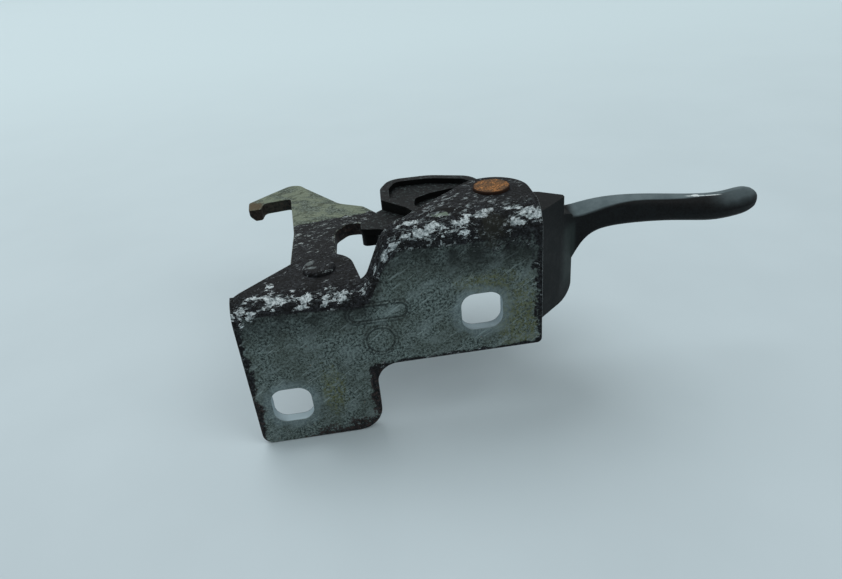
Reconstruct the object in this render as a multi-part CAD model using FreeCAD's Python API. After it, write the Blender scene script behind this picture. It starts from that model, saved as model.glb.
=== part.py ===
import FreeCAD, Part
import math
import os

os.makedirs("parts", exist_ok=True)

V = FreeCAD.Vector

# Sheet bracket
SHEET = 2.5
BEND_OUTER = 5.5
PLATE_LEFT = -31.0
PLATE_WIDTH = 67.0
PLATE_BOTTOM = -1.4
TAB_HEIGHT = 18.0
TAB_WIDTH = 28.7
TAB_FILLET = 5.0
TAB_CHAMFER = 2.6
TAB_ROUND = 6.0
PLATE_CORNER = 1.2
LOW_TOP = 18.9
STEP_HEIGHT = 13.4
STEP_START = -4.6
STEP_LOW_RADIUS = 3.5
STEP_HIGH_RADIUS = 8.0
STEP_ANGLE = 66.0
STRIP_REACH = 4.0
LOBE_ROOT = 3.2

PLATE_RIGHT = PLATE_LEFT + PLATE_WIDTH
TAB_BOTTOM = PLATE_BOTTOM - TAB_HEIGHT
TAB_RIGHT = PLATE_LEFT + TAB_WIDTH
HIGH_TOP = LOW_TOP + STEP_HEIGHT
BEND_INNER = BEND_OUTER - SHEET
LOW_UNDER = LOW_TOP - SHEET
HIGH_UNDER = HIGH_TOP - SHEET

# Bolt holes in the plate
HOLE_WIDTH = 9.2
HOLE_CORNER = 3.0
HOLE_FROM_LEFT = 8.5
HOLE_FROM_RIGHT = 13.5
HOLE_OFFSET_Z = 9.1

# The two pivots and the lobes around them
HANDLE_PIVOT = (PLATE_RIGHT - 8.0, 12.8)
HOOK_PIVOT = (-12.0, 11.2)
HIGH_LOBE_AT = (PLATE_RIGHT - 8.2, 11.4)
HIGH_LOBE = 8.2
LOW_LOBE = 7.8
LOW_LOBE_RIGHT = STEP_START + 1.7
HIGH_LOBE_LEFT = STEP_START + 12.5

# Rivets and bushes
RIVET_SHANK = 3.0
RIVET_FIT = 0.02
BUSH_RADIUS = 4.0
BUSH_WALL_FIT = 0.03
RUNNING_FIT = 0.05
HANDLE_HEAD = 4.05
HANDLE_HEAD_HEIGHT = 0.7
HANDLE_HEAD_ROUNDING = 0.35
HOOK_HEAD = 3.7
HOOK_HEAD_HEIGHT = 1.1
HOOK_HEAD_ROUNDING = 0.95
FORMED_RADIUS = 4.2
FORMED_HEIGHT = 1.8
FORMED_ROUNDING = 1.3
RIVET_FACETS = 2
WASHER = 1.1
HANDLE_WASHER_RADIUS = 6.0
HOOK_WASHER_RADIUS = 7.2

# Hook lever, its reaches measured from its pivot
SPACER = 0.6
SPACER_RADIUS = 5.6
AXIAL_PLAY = 0.1
HOOK_THICK = 3.6
HOOK_EYE = 6.8
HOOK_REACH = 66.8
HOOK_WIDTH = 22.1
HEAD_DEPTH = 13.7
BARB_DEPTH = 4.3
BARB_WIDTH = 3.5
BARB_BEVEL = 1.5
STEM_LEFT = 7.6
STEM_RIGHT = 3.2
TAIL_REACH = 19.2
SPRING_HOLE = 1.3
SPRING_HOLE_AT = (-13.6, 21.2)

# Torsion spring
WIRE = 0.75
WIRE_SIDES = 8
COIL_MEAN = 5.9
COIL_WHOLE_TURNS = 2
COIL_STEP = 24.0
COIL_RISE = 3.72
LEG_DROP = 0.8
LEG_BEND = 0.95
LEG_RISE = 3.0
LEG_END_X = 2.5
SHOULDER_RADIUS = 4.9
SEAT_GAP = 0.02

# Handle moulding
HUB_RADIUS = 7.6
HUB_GAP = 0.3
HUB_CHAMFER = 0.8
HUB_BOTTOM = 14.0
HUB_END_PLAY = 0.2
WELL_GAP = 0.6
ARM_LIFT = 0.6
ARM_THICK = 4.3
ARM_LEFT = 4.3
ARM_BACK = 57.6
ARM_RIGHT = PLATE_RIGHT - 0.6
ARM_DRAWN_WIDTH = 31.1
RIM = 2.4
RECESS = 1.5
POCKET_SKIN = 1.2
SHELF_THICK = 1.6
POST_AT = (0.4, 34.2)
POST_WIDTH = 4.4
POST_DEPTH = 4.6
POST_HEIGHT = 4.9
FINGER_GAP = 0.5
NOSE_RADIUS = 2.3
NOSE_GAP = 0.3
HOOK_RATIO = 1.8
BLOCK_BOTTOM = 2.0
BLOCK_RISE = 4.0
BLOCK_CORNER = 3.6
BLOCK_RIGHT = PLATE_RIGHT + 11.2
BLOCK_NEAR = 14.0
BLOCK_FAR = 18.6
SHOULDER_SLOPE = 1.8
BLOCK_TOP_GAP = 0.7
PLATE_GAP = 0.4
CORE_WALL = 2.4
CORE_ROOF = 4.0
CORE_CORNER = 1.5
GRIP_LENGTH = 42.5
GRIP_NEAR = 13.6
GRIP_TOP_RISE = 4.3
GRIP_FACETS = 3

PIVOT_SPAN = HANDLE_PIVOT[0] - HOOK_PIVOT[0]
TAIL_EDGE = HOOK_PIVOT[1] - 0.5
HOOK_TOP = LOW_UNDER - SPACER - AXIAL_PLAY
HOOK_BOTTOM = HOOK_TOP - HOOK_THICK
ARM_UNDER = HOOK_TOP + ARM_LIFT
ARM_TOP = ARM_UNDER + ARM_THICK
POCKET_FLOOR = ARM_UNDER + POCKET_SKIN
SHELF_TOP = ARM_UNDER + SHELF_THICK
POST_BOTTOM = SHELF_TOP - POST_HEIGHT
POST_LEFT = POST_AT[0] - POST_WIDTH / 2
POST_RIGHT = POST_AT[0] + POST_WIDTH / 2
POST_NEAR = POST_AT[1] - POST_DEPTH / 2
POST_FAR = POST_AT[1] + POST_DEPTH / 2
BLOCK_SHOULDER = ARM_TOP + BLOCK_RISE
BLOCK_TOP = HIGH_UNDER - BLOCK_TOP_GAP
GRIP_TOP = ARM_TOP + GRIP_TOP_RISE
HUB_TOP = HIGH_UNDER - HUB_GAP
HANDLE_STACK_END = HUB_BOTTOM - HUB_END_PLAY
SHOULDER_TOP = HOOK_BOTTOM - AXIAL_PLAY
COIL_TOP = HOOK_BOTTOM - WIRE - LEG_DROP
COIL_BOTTOM = COIL_TOP - COIL_RISE
HOOK_STACK_END = COIL_BOTTOM - WIRE - SEAT_GAP


def fillet_corner(before, corner, after, radius):
    """Start, middle and end of the arc that rounds one corner of an outline."""
    back = V(before[0] - corner[0], before[1] - corner[1], 0).normalize()
    ahead = V(after[0] - corner[0], after[1] - corner[1], 0).normalize()
    half = back.getAngle(ahead) / 2
    reach = radius / math.tan(half)
    at = V(corner[0], corner[1], 0)
    start = at + back * reach
    end = at + ahead * reach
    centre = at + (back + ahead).normalize() * (radius / math.sin(half))
    middle = centre + (at - centre).normalize() * radius
    return start, middle, end


def outline(points):
    """Closed wire in the XY plane; each point is (x, y) or (x, y, corner radius)."""
    edges = []
    joints = []
    count = len(points)
    for index, point in enumerate(points):
        if len(point) == 3 and point[2] > 0:
            joints.append(fillet_corner(points[index - 1], point, points[(index + 1) % count], point[2]))
        else:
            joints.append((V(point[0], point[1], 0),))
    for index, joint in enumerate(joints):
        if len(joint) == 3:
            edges.append(Part.Arc(*joint).toShape())
        start = joint[-1]
        end = joints[(index + 1) % count][0]
        if start.distanceToPoint(end) > 1e-6:
            edges.append(Part.makeLine(start, end))
    return Part.Wire(edges)


def plan_prism(points, low, high):
    """Prism of an XY outline between two heights."""
    face = Part.Face(outline(points))
    face.translate(V(0, 0, low))
    return face.extrude(V(0, 0, high - low))


def front_prism(wire, near, far):
    """Prism of a wire drawn as (x, z), from y = near to y = far."""
    face = Part.Face(wire)
    face.rotate(V(0, 0, 0), V(1, 0, 0), 90)
    face.translate(V(0, near, 0))
    return face.extrude(V(0, far - near, 0))


def cylinder(radius, low, high, at):
    return Part.makeCylinder(radius, high - low, V(at[0], at[1], low))


def front_outline(shift, left, right):
    """Front view of the folded sheet, its stepped top line lowered by shift."""
    low = LOW_TOP - shift
    high = HIGH_TOP - shift
    low_radius = STEP_LOW_RADIUS + shift
    high_radius = STEP_HIGH_RADIUS - shift
    angle = math.radians(STEP_ANGLE)
    height = HIGH_TOP - LOW_TOP
    riser = (height - (STEP_LOW_RADIUS + STEP_HIGH_RADIUS) * (1 - math.cos(angle))) / math.sin(angle)
    low_centre = V(STEP_START, low + low_radius, 0)

    def low_arc(turn):
        return low_centre + V(low_radius * math.sin(turn), -low_radius * math.cos(turn), 0)

    riser_end = low_arc(angle) + V(riser * math.cos(angle), riser * math.sin(angle), 0)
    high_centre = riser_end + V(high_radius * math.sin(angle), -high_radius * math.cos(angle), 0)

    def high_arc(turn):
        return high_centre + V(-high_radius * math.sin(turn), high_radius * math.cos(turn), 0)

    start = V(left, low, 0)
    end = V(right, high, 0)
    top = [
        Part.makeLine(start, low_arc(0)),
        Part.Arc(low_arc(0), low_arc(angle / 2), low_arc(angle)).toShape(),
        Part.makeLine(low_arc(angle), riser_end),
        Part.Arc(riser_end, high_arc(angle / 2), high_arc(0)).toShape(),
        Part.makeLine(high_arc(0), end),
    ]
    return top, start, end


def bend_solid(shift, left, right, floor, near, far, radius):
    """Block under the stepped top line, its front top edge rolled over by radius."""
    top, start, end = front_outline(shift, left, right)
    sides = [
        Part.makeLine(end, V(right, floor, 0)),
        Part.makeLine(V(right, floor, 0), V(left, floor, 0)),
        Part.makeLine(V(left, floor, 0), start),
    ]
    block = front_prism(Part.Wire(top + sides), near, far)
    edges = []
    for edge in block.Edges:
        ends = [vertex.Point for vertex in edge.Vertexes]
        flat = all(abs(point.y - near) < 1e-4 for point in ends)
        high = all(point.z > LOW_TOP - shift - 1e-3 for point in ends)
        if flat and high:
            edges.append(edge)
    return block.makeFillet(radius, edges)


def plate_blank():
    """Front view of the plate with its lower left tab, up to above the flange."""
    points = [
        (PLATE_LEFT, HIGH_TOP + 5),
        (PLATE_LEFT, TAB_BOTTOM, TAB_CHAMFER),
        (TAB_RIGHT, TAB_BOTTOM, TAB_ROUND),
        (TAB_RIGHT, PLATE_BOTTOM, TAB_FILLET),
        (PLATE_RIGHT, PLATE_BOTTOM, PLATE_CORNER),
        (PLATE_RIGHT, HIGH_TOP + 5),
    ]
    return front_prism(outline(points), -1, 40)


def tangent_point(pivot, radius, start, side):
    """Where the line from start touches the circle round pivot, on the given side."""
    dx = pivot[0] - start[0]
    dy = pivot[1] - start[1]
    reach = math.hypot(dx, dy)
    heading = math.atan2(dy, dx) + side * math.asin(radius / reach)
    length = math.sqrt(reach ** 2 - radius ** 2)
    return start[0] + length * math.cos(heading), start[1] + length * math.sin(heading)


def lobe_face(pivot, radius, left_start, right_start):
    """Plan of one flange lobe: a circle round the pivot with two tangent flanks."""
    left = tangent_point(pivot, radius, left_start, 1)
    right = tangent_point(pivot, radius, right_start, -1)
    left_v = V(left[0], left[1], 0)
    right_v = V(right[0], right[1], 0)
    top = V(pivot[0], pivot[1] + radius, 0)
    flank_left = Part.makeLine(V(left_start[0], left_start[1], 0), left_v)
    flank_right = Part.makeLine(right_v, V(right_start[0], right_start[1], 0))
    base_left = V(left_start[0], -2, 0)
    base_right = V(right_start[0], -2, 0)
    edges = [
        Part.makeLine(base_left, V(left_start[0], left_start[1], 0)),
        flank_left,
        Part.Arc(left_v, top, right_v).toShape(),
        flank_right,
        Part.makeLine(V(right_start[0], right_start[1], 0), base_right),
        Part.makeLine(base_right, base_left),
    ]
    return Part.Face(Part.Wire(edges))


def flange_plan():
    """Everything the sheet may cover behind the plate, seen from above."""
    low = lobe_face(HOOK_PIVOT, LOW_LOBE, (PLATE_LEFT, LOBE_ROOT), (LOW_LOBE_RIGHT, STRIP_REACH))
    high = lobe_face(HIGH_LOBE_AT, HIGH_LOBE, (HIGH_LOBE_LEFT, STRIP_REACH), (PLATE_RIGHT, STRIP_REACH))
    floor = TAB_BOTTOM - 5
    height = HIGH_TOP + 10 - floor
    solids = []
    for face in (low, high):
        face.translate(V(0, 0, floor))
        solids.append(face.extrude(V(0, 0, height)))
    strip = Part.makeBox(PLATE_RIGHT - PLATE_LEFT + 4, STRIP_REACH + 2, height, V(PLATE_LEFT - 2, -2, floor))
    end = Part.makeBox(20, 20, height, V(PLATE_LEFT - 20, LOBE_ROOT, floor))
    return strip.cut(end).multiFuse(solids)


def square_hole(x, z):
    half = HOLE_WIDTH / 2
    points = [
        (x - half, z - half, HOLE_CORNER),
        (x + half, z - half, HOLE_CORNER),
        (x + half, z + half, HOLE_CORNER),
        (x - half, z + half, HOLE_CORNER),
    ]
    return front_prism(outline(points), -1, SHEET + 1)


def make_bracket():
    outer = bend_solid(0, PLATE_LEFT - 3, PLATE_RIGHT + 3, TAB_BOTTOM - 3, 0, 36, BEND_OUTER)
    inner = bend_solid(SHEET, PLATE_LEFT - 6, PLATE_RIGHT + 6, TAB_BOTTOM - 6, SHEET, 40, BEND_INNER)
    sheet = outer.cut(inner).common(plate_blank()).common(flange_plan())
    sheet = sheet.cut(square_hole(PLATE_LEFT + HOLE_FROM_LEFT, -HOLE_OFFSET_Z))
    sheet = sheet.cut(square_hole(PLATE_RIGHT - HOLE_FROM_RIGHT, HOLE_OFFSET_Z))
    hole = RIVET_SHANK + RIVET_FIT
    sheet = sheet.cut(cylinder(hole, LOW_UNDER - 1, LOW_TOP + 1, HOOK_PIVOT))
    sheet = sheet.cut(cylinder(hole, HIGH_UNDER - 1, HIGH_TOP + 1, HANDLE_PIVOT))
    return sheet.removeSplitter()


def rivet_end(at, face, radius, height, rounding, way):
    """Turned rivet end on a face; it rises where way is 1 and hangs where way is -1."""
    profile = [V(0, 0, 0), V(radius, 0, 0)]
    for step in range(RIVET_FACETS + 1):
        turn = math.radians(90.0 * step / RIVET_FACETS)
        across = radius - rounding + rounding * math.cos(turn)
        profile.append(V(across, 0, height - rounding + rounding * math.sin(turn)))
    profile.append(V(0, 0, height))
    turned = [V(at[0] + point.x, at[1], face + way * point.z) for point in profile]
    section = Part.Face(Part.makePolygon(turned + turned[:1]))
    return section.revolve(V(at[0], at[1], 0), V(0, 0, 1), 360)


def make_rivet(at, stack_end, sheet_top, head_radius, head_height, head_rounding):
    """Shank through the stack with a head on the flange and a formed end under the washer."""
    washer_face = stack_end - WASHER
    shank = cylinder(RIVET_SHANK, washer_face, sheet_top, at)
    head = rivet_end(at, sheet_top, head_radius, head_height, head_rounding, 1)
    formed = rivet_end(at, washer_face, FORMED_RADIUS, FORMED_HEIGHT, FORMED_ROUNDING, -1)
    return shank.fuse([head, formed]).removeSplitter()


def ring(outer, inner, low, high, at):
    return cylinder(outer, low, high, at).cut(cylinder(inner, low - 1, high + 1, at))


def make_hook_bush():
    """Sleeve for the lever, with a wider foot that carries the lever and guides the coil."""
    sleeve = cylinder(BUSH_RADIUS, HOOK_STACK_END, LOW_UNDER, HOOK_PIVOT)
    foot = cylinder(SHOULDER_RADIUS, HOOK_STACK_END, SHOULDER_TOP, HOOK_PIVOT)
    bore = cylinder(RIVET_SHANK + BUSH_WALL_FIT, HOOK_STACK_END - 1, LOW_UNDER + 1, HOOK_PIVOT)
    return sleeve.fuse(foot).cut(bore).removeSplitter()


def barb_bevel(left, near):
    """Wedge under the barb's end face, which leaves the lead-in slope."""
    low = HOOK_BOTTOM - 0.01
    corners = [
        V(left - 2, near - 2, low),
        V(left + BARB_BEVEL, near - 2, low),
        V(left - 2, near - 2, low + BARB_BEVEL + 2),
    ]
    face = Part.Face(Part.makePolygon(corners + corners[:1]))
    return face.extrude(V(0, HEAD_DEPTH + BARB_DEPTH, 0))


def hook_outline():
    """Plan of the lever: round the tail, up past the post's arch to the head and back down the stem."""
    px, py = HOOK_PIVOT
    head = py + HOOK_REACH
    throat = head - HEAD_DEPTH
    barb = throat - BARB_DEPTH
    left = px - HOOK_WIDTH
    stem = px + STEM_RIGHT
    tail = px + TAIL_REACH
    return [
        (px - STEM_LEFT + 0.2, py),
        (px - 4.0, py - 6.0),
        (px + 4.0, py - 6.2, 2.0),
        (tail, py - 3.6, 1.5),
        (tail, TAIL_EDGE, 1.5),
        (tail - 6.6, TAIL_EDGE, 1.0),
        (tail - 8.2, TAIL_EDGE - 1.3, 1.0),
        (px + HOOK_EYE + 0.3, TAIL_EDGE - 1.3, 1.5),
        (stem + 1.2, py + 9.8, 8.0),
        (stem - 0.1, py + 16.8, 8.0),
        (stem + 0.2, POST_FAR + 1.1, 3.5),
        (POST_LEFT - 3.6, POST_FAR + 5.1, 2.2),
        (POST_LEFT - 0.2, POST_FAR + 4.9, 1.6),
        (POST_LEFT + 1.8, POST_FAR + FINGER_GAP + 0.1, 1.2),
        (POST_RIGHT + 1.4, POST_FAR + FINGER_GAP, 2.2),
        (POST_RIGHT + 0.8, POST_FAR + 9.0, 4.0),
        (POST_RIGHT - 3.2, POST_FAR + 15.9, 3.0),
        (POST_LEFT - 5.6, POST_FAR + 20.3, 6.0),
        (px - 5.6, head - 5.4, 4.0),
        (px - 8.6, head, 3.4),
        (px - 15.8, head - 6.4, 5.0),
        (left, throat + 1.3, 1.2),
        (left + 0.5, barb, 0.9),
        (left + 0.5 + BARB_WIDTH, barb, 0.9),
        (left + 1.0 + BARB_WIDTH, throat, 1.6),
        (px - STEM_LEFT - 2.1, throat + 1.1, 1.4),
        (px - STEM_LEFT - 0.9, barb - 8.6),
        (px - STEM_LEFT, barb - 20.0, 20.0),
        (px - STEM_LEFT, py + 11.1),
    ]


def make_hook_lever():
    eye = cylinder(HOOK_EYE, HOOK_BOTTOM, HOOK_TOP, HOOK_PIVOT)
    lever = eye.fuse(plan_prism(hook_outline(), HOOK_BOTTOM, HOOK_TOP)).removeSplitter()
    barb_left = HOOK_PIVOT[0] - HOOK_WIDTH + 0.5
    barb_near = HOOK_PIVOT[1] + HOOK_REACH - HEAD_DEPTH - BARB_DEPTH
    lever = lever.cut(barb_bevel(barb_left, barb_near))
    lever = lever.cut(cylinder(BUSH_RADIUS + RUNNING_FIT, HOOK_BOTTOM - 1, HOOK_TOP + 1, HOOK_PIVOT))
    return lever.cut(cylinder(SPRING_HOLE, HOOK_BOTTOM - 1, HOOK_TOP + 1, SPRING_HOLE_AT))


def wire_ring(at, heading, climb):
    """Section across the spring wire, which runs on a plan heading and climbs by an angle."""
    side = V(-math.sin(heading), math.cos(heading), 0)
    along = V(math.cos(heading) * math.cos(climb), math.sin(heading) * math.cos(climb), math.sin(climb))
    lift = along.cross(side)
    corners = []
    for step in range(WIRE_SIDES):
        turn = 2 * math.pi * step / WIRE_SIDES
        corners.append(at + side * (WIRE * math.cos(turn)) + lift * (WIRE * math.sin(turn)))
    return Part.makePolygon(corners + corners[:1])


def pivot_angle(point):
    return math.atan2(point[1] - HOOK_PIVOT[1], point[0] - HOOK_PIVOT[0])


def make_hook_spring():
    """Coil round the hook's bush, one leg on the plate and one turned up into the lever's hole."""
    leg_end = (LEG_END_X, SHEET + WIRE)
    first = pivot_angle(tangent_point(HOOK_PIVOT, COIL_MEAN, leg_end, 1))
    last = pivot_angle(tangent_point(HOOK_PIVOT, COIL_MEAN, SPRING_HOLE_AT, -1))
    sweep = (first - last) % (2 * math.pi) + COIL_WHOLE_TURNS * 2 * math.pi
    rings = [wire_ring(V(leg_end[0], leg_end[1], COIL_BOTTOM), first - math.pi / 2, 0)]
    steps = round(math.degrees(sweep) / COIL_STEP)
    for step in range(steps + 1):
        angle = first - sweep * step / steps
        x = HOOK_PIVOT[0] + COIL_MEAN * math.cos(angle)
        y = HOOK_PIVOT[1] + COIL_MEAN * math.sin(angle)
        rings.append(wire_ring(V(x, y, COIL_BOTTOM + COIL_RISE * step / steps), angle - math.pi / 2, 0))
    heading = first - sweep - math.pi / 2
    along = V(math.cos(heading), math.sin(heading), 0)
    hole = V(SPRING_HOLE_AT[0], SPRING_HOLE_AT[1], COIL_TOP)
    for turn in (0, math.pi / 6, math.pi / 3, math.pi / 2):
        at = hole + along * (LEG_BEND * (math.sin(turn) - 1)) + V(0, 0, LEG_BEND * (1 - math.cos(turn)))
        rings.append(wire_ring(at, heading, turn))
    rings.append(wire_ring(hole + V(0, 0, LEG_BEND + LEG_RISE), heading, math.pi / 2))
    return Part.makeLoft(rings, True, True)


def grip_section(x, near, far, bottom, near_top, far_top, corners):
    """Rounded section across the grip; corners are near-low, far-low, far-high, near-high."""
    points = [
        (near, bottom, corners[0]),
        (far, bottom, corners[1]),
        (far, far_top, corners[2]),
        (near, near_top, corners[3]),
    ]
    polygon = []
    for index, point in enumerate(points):
        arc = Part.Arc(*fillet_corner(points[index - 1], point, points[(index + 1) % 4], point[2]))
        polygon += arc.toShape().discretize(GRIP_FACETS + 1)
    wire = Part.makePolygon(polygon + polygon[:1])
    placement = FreeCAD.Placement(V(x, 0, 0), FreeCAD.Rotation(V(0, 1, 0), V(0, 0, 1), V(1, 0, 0), "XYZ"))
    return wire.transformed(placement.toMatrix())


def make_grip():
    """Curved grip lofted through rounded sections from inside the block to the upturned tip.

    Each row gives the place along the grip as a share of its length, the near side from GRIP_NEAR, the
    depth, the height, how far the near and far top edges lie under GRIP_TOP, and the corner radii.
    """
    rows = [
        (-0.122, -0.4, 5.2, 16.9, 2.9, 0.0, (1.0, 1.6, 1.4, 0.6)),
        (-0.005, 0.0, 4.9, 13.7, 2.5, 0.0, (1.0, 1.6, 1.4, 0.6)),
        (0.054, 0.1, 5.1, 10.0, 2.3, -0.1, (1.2, 1.8, 1.4, 0.6)),
        (0.113, 0.0, 5.4, 7.8, 1.8, -0.1, (1.4, 1.9, 1.4, 0.7)),
        (0.207, -0.2, 5.7, 6.6, 0.9, 0.0, (1.6, 2.0, 1.5, 0.9)),
        (0.325, -0.7, 6.0, 6.1, 0.4, 0.2, (1.8, 2.1, 1.7, 1.3)),
        (0.489, -1.6, 6.0, 5.9, 0.6, 0.5, (2.1, 2.3, 2.1, 1.8)),
        (0.654, -3.4, 6.3, 5.8, 0.9, 0.8, (2.4, 2.5, 2.4, 2.2)),
        (0.795, -4.6, 6.6, 5.8, 0.9, 0.8, (2.6, 2.6, 2.6, 2.5)),
        (0.913, -4.7, 6.6, 5.8, 0.3, 0.2, (2.7, 2.7, 2.7, 2.6)),
        (0.969, -4.0, 5.5, 4.9, 0.4, 0.4, (2.2, 2.2, 2.2, 2.1)),
        (1.0, -2.8, 3.1, 2.7, 1.4, 1.4, (1.2, 1.2, 1.2, 1.1)),
    ]
    sections = []
    for share, shift, depth, height, near_drop, far_drop, corners in rows:
        x = BLOCK_RIGHT + share * GRIP_LENGTH
        near = GRIP_NEAR + shift
        near_top = GRIP_TOP - near_drop
        far_top = GRIP_TOP - far_drop
        sections.append(grip_section(x, near, near + depth, far_top - height, near_top, far_top, corners))
    return Part.makeLoft(sections, True, False)


def arm_outline():
    """Plan of the rimmed arm, from its far left corner round the far side and back to the hub."""
    hx, hy = HANDLE_PIVOT
    return [
        (ARM_LEFT, ARM_BACK - 14.6, 1.5),
        (ARM_LEFT + 0.3, ARM_BACK - 6.6, 7.0),
        (ARM_LEFT + 3.3, ARM_BACK, 5.0),
        ((ARM_LEFT + ARM_RIGHT) / 2 - 0.85, ARM_BACK - 0.2, 14.0),
        (ARM_RIGHT - 5.4, ARM_BACK - 4.6, 6.0),
        (ARM_RIGHT - 0.2, ARM_BACK - 15.6, 12.0),
        (ARM_RIGHT, hy - 1.4),
        (hx - 4.0, hy - HUB_RADIUS),
        (hx - HUB_RADIUS, hy + 1.2, 8.0),
        (ARM_LEFT + 6.1, ARM_BACK - 21.6, 4.0),
    ]


def make_arm():
    """Rimmed plate behind the high lobe, with a shallow floor and a deeper pocket near the hub."""
    hub_front = HANDLE_PIVOT[1] + HUB_RADIUS + 3.6
    stretch = (ARM_RIGHT - ARM_LEFT) / ARM_DRAWN_WIDTH
    pocket_points = [
        (ARM_LEFT + 8.5 * stretch, ARM_BACK - 18.0, 2.0),
        (ARM_LEFT + 9.3 * stretch, ARM_BACK - 12.6, 3.0),
        (ARM_LEFT + 13.7 * stretch, ARM_BACK - 10.2, 4.0),
        (ARM_LEFT + 22.7 * stretch, ARM_BACK - 8.0, 4.0),
        (ARM_RIGHT - 3.8, ARM_BACK - 17.6, 6.0),
        (ARM_RIGHT - 3.0, hub_front, 3.0),
        (HANDLE_PIVOT[0] - 5.4, hub_front, 3.0),
    ]
    arm = plan_prism(arm_outline(), ARM_UNDER, ARM_TOP)
    hub_guard = cylinder(HUB_RADIUS + 0.5, ARM_UNDER, HUB_TOP, HANDLE_PIVOT)
    floor_face = Part.Face(outline(arm_outline())).makeOffset2D(-RIM)
    recess = floor_face.extrude(V(0, 0, RECESS + 1))
    recess.translate(V(0, 0, ARM_TOP - RECESS))
    pocket = plan_prism(pocket_points, POCKET_FLOOR, ARM_TOP)
    return arm.cut(recess.cut(hub_guard)).cut(pocket.cut(hub_guard))


def make_neck():
    """Low shelf on the arm's near corner, with the post that runs inside the hook's arch."""
    hx, hy = HANDLE_PIVOT
    shelf_points = [
        (ARM_LEFT + 0.7, ARM_BACK - 14.1),
        (ARM_LEFT - 1.4, ARM_BACK - 15.9, 2.0),
        (POST_LEFT + 2.0, POST_FAR + 0.3, 1.5),
        (POST_LEFT, POST_FAR - 1.3, 0.8),
        (POST_LEFT, POST_NEAR, 1.0),
        (POST_RIGHT + 0.4, POST_NEAR - 1.3, 2.5),
        (POST_RIGHT + 5.4, POST_NEAR - 4.9, 6.0),
        (hx - HUB_RADIUS + 0.1, hy - 0.8),
        (hx - 1.0, hy + 3.2),
        (ARM_LEFT + 7.7, ARM_BACK - 17.6),
    ]
    post_points = [
        (POST_LEFT, POST_FAR, 1.2),
        (POST_LEFT, POST_NEAR, 1.6),
        (POST_RIGHT, POST_NEAR, 1.0),
        (POST_RIGHT, POST_FAR, 1.0),
    ]
    shelf = plan_prism(shelf_points, ARM_UNDER, SHELF_TOP)
    return shelf.fuse(plan_prism(post_points, POST_BOTTOM, SHELF_TOP))


def make_nose():
    """Cam nose at the hook lever's level, tied up into the arm."""
    root = HANDLE_PIVOT[0] - 3
    reach = PIVOT_SPAN * HOOK_RATIO / (1 + HOOK_RATIO)
    tip = (HANDLE_PIVOT[0] - reach, TAIL_EDGE + NOSE_GAP + NOSE_RADIUS)
    beam_points = [
        (tip[0], tip[1] - NOSE_RADIUS),
        (root, tip[1] - NOSE_RADIUS + 0.5),
        (root, tip[1] + NOSE_RADIUS + 3),
        (tip[0], tip[1] + NOSE_RADIUS),
    ]
    web_points = [
        (tip[0] + 3, tip[1] - 1.2),
        (root, tip[1] - 1.2),
        (root, tip[1] + 5.0),
        (tip[0] + 3, tip[1] + 1.6),
    ]
    nose = cylinder(NOSE_RADIUS, HOOK_BOTTOM, HOOK_TOP, tip)
    beam = plan_prism(beam_points, HOOK_BOTTOM, HOOK_TOP)
    return nose.multiFuse([beam, plan_prism(web_points, HOOK_BOTTOM, ARM_UNDER + 0.5)])


def make_block():
    """Tall wedge block that fills the space beside the plate's right edge."""
    hx, hy = HANDLE_PIVOT
    hub_near = hy - HUB_RADIUS
    wedge_left = PLATE_RIGHT + PLATE_GAP
    lower_points = [
        (hx, hub_near),
        (PLATE_RIGHT - 0.5, SHEET + 0.55),
        (BLOCK_RIGHT - 4.3, BLOCK_NEAR - 4.4, 6.0),
        (BLOCK_RIGHT, BLOCK_NEAR, 0.8),
        (BLOCK_RIGHT, BLOCK_FAR, 1.2),
        (BLOCK_RIGHT - 9.2, BLOCK_FAR + 1.8, 4.0),
        (hx, hy + HUB_RADIUS),
    ]
    upper_points = [
        (hx, hub_near + 1.6),
        (wedge_left, hub_near + 1.6),
        (wedge_left, SHEET + 1.34),
        (BLOCK_RIGHT - 3.3, BLOCK_NEAR - 3.5, 0.4),
        (BLOCK_RIGHT - 3.4, BLOCK_NEAR - 2.4, 0.4),
        (BLOCK_RIGHT - 7.9, BLOCK_NEAR + 1.0, 0.8),
        (PLATE_RIGHT - 2.0, BLOCK_NEAR + 3.0),
        (hx, hy + HUB_RADIUS),
    ]
    lower = plan_prism(lower_points, BLOCK_BOTTOM, BLOCK_SHOULDER)
    side_view = [
        (hx - 1, BLOCK_BOTTOM),
        (BLOCK_RIGHT, BLOCK_BOTTOM, BLOCK_CORNER),
        (BLOCK_RIGHT, BLOCK_SHOULDER - SHOULDER_SLOPE, 1.0),
        (BLOCK_RIGHT - 1.5 * SHOULDER_SLOPE, BLOCK_SHOULDER, 1.0),
        (hx - 1, BLOCK_SHOULDER),
    ]
    lower = lower.common(front_prism(outline(side_view), 0, 2 * BLOCK_FAR))
    return lower.fuse(plan_prism(upper_points, BLOCK_SHOULDER - 3, BLOCK_TOP))


def block_core():
    """Pocket that opens downwards in the block and keeps its walls even, as the mould's core leaves it."""
    hx, hy = HANDLE_PIVOT
    left = hx + HANDLE_WASHER_RADIUS + WELL_GAP + CORE_WALL
    right = BLOCK_RIGHT - BLOCK_CORNER
    far = BLOCK_FAR - CORE_WALL
    points = [
        (left, SHEET + CORE_WALL + 3.2, CORE_CORNER),
        (right, BLOCK_NEAR - 0.2, CORE_CORNER),
        (right, far, CORE_CORNER),
        (left, far + 1.4, CORE_CORNER),
    ]
    return plan_prism(points, BLOCK_BOTTOM - 1, BLOCK_SHOULDER - CORE_ROOF)


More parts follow.
